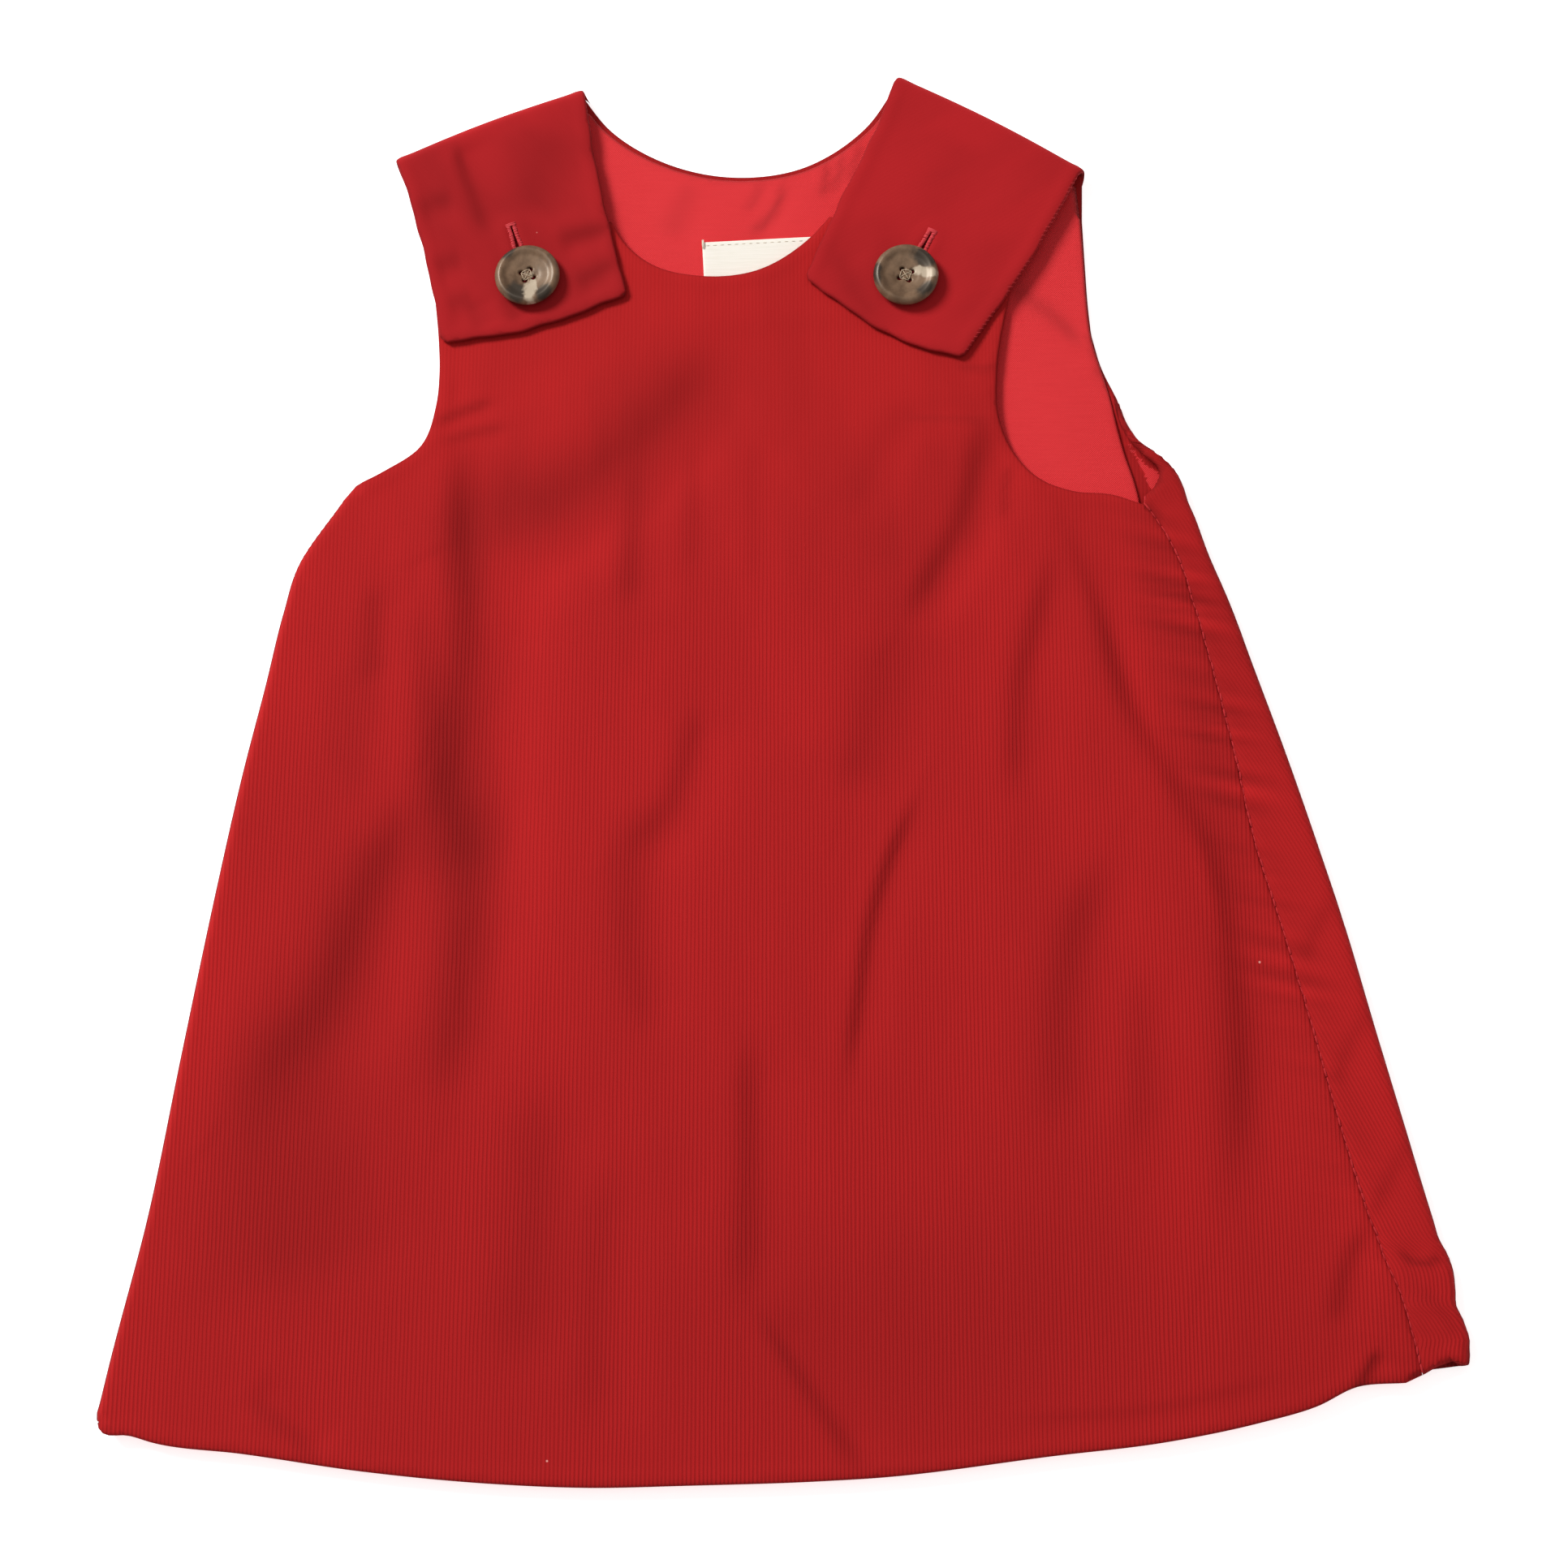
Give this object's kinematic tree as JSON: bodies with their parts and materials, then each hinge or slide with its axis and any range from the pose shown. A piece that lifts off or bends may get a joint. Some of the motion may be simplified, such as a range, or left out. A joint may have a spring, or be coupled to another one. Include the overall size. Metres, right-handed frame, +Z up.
{
  "type": "pinafore dress",
  "caption": "Toddler's sleeveless A-line pinafore dress in needlecord, laid flat front up, with wide straps folded over the shoulders and buttoned to the front.",
  "frame": {"origin": "on the surface that the dress lies on, at the middle of its bounding box", "axes": "+Y from the hem to the shoulders, +Z up out of the surface, +X to the right as seen from above"},
  "size_m": [0.4004, 0.4519, 0.0114],
  "materials": {
    "cord": "matte, fine ribbed nap",
    "lining": "matte plain weave",
    "label": "soft satin weave",
    "button": "polished horn look",
    "thread": "sewing thread"
  },
  "bodies": {
    "root": {"front": "cord", "back": "cord", "lining_back": "lining", "label": "label", "button_left": "button", "button_right": "button"}
  },
  "joints": []
}
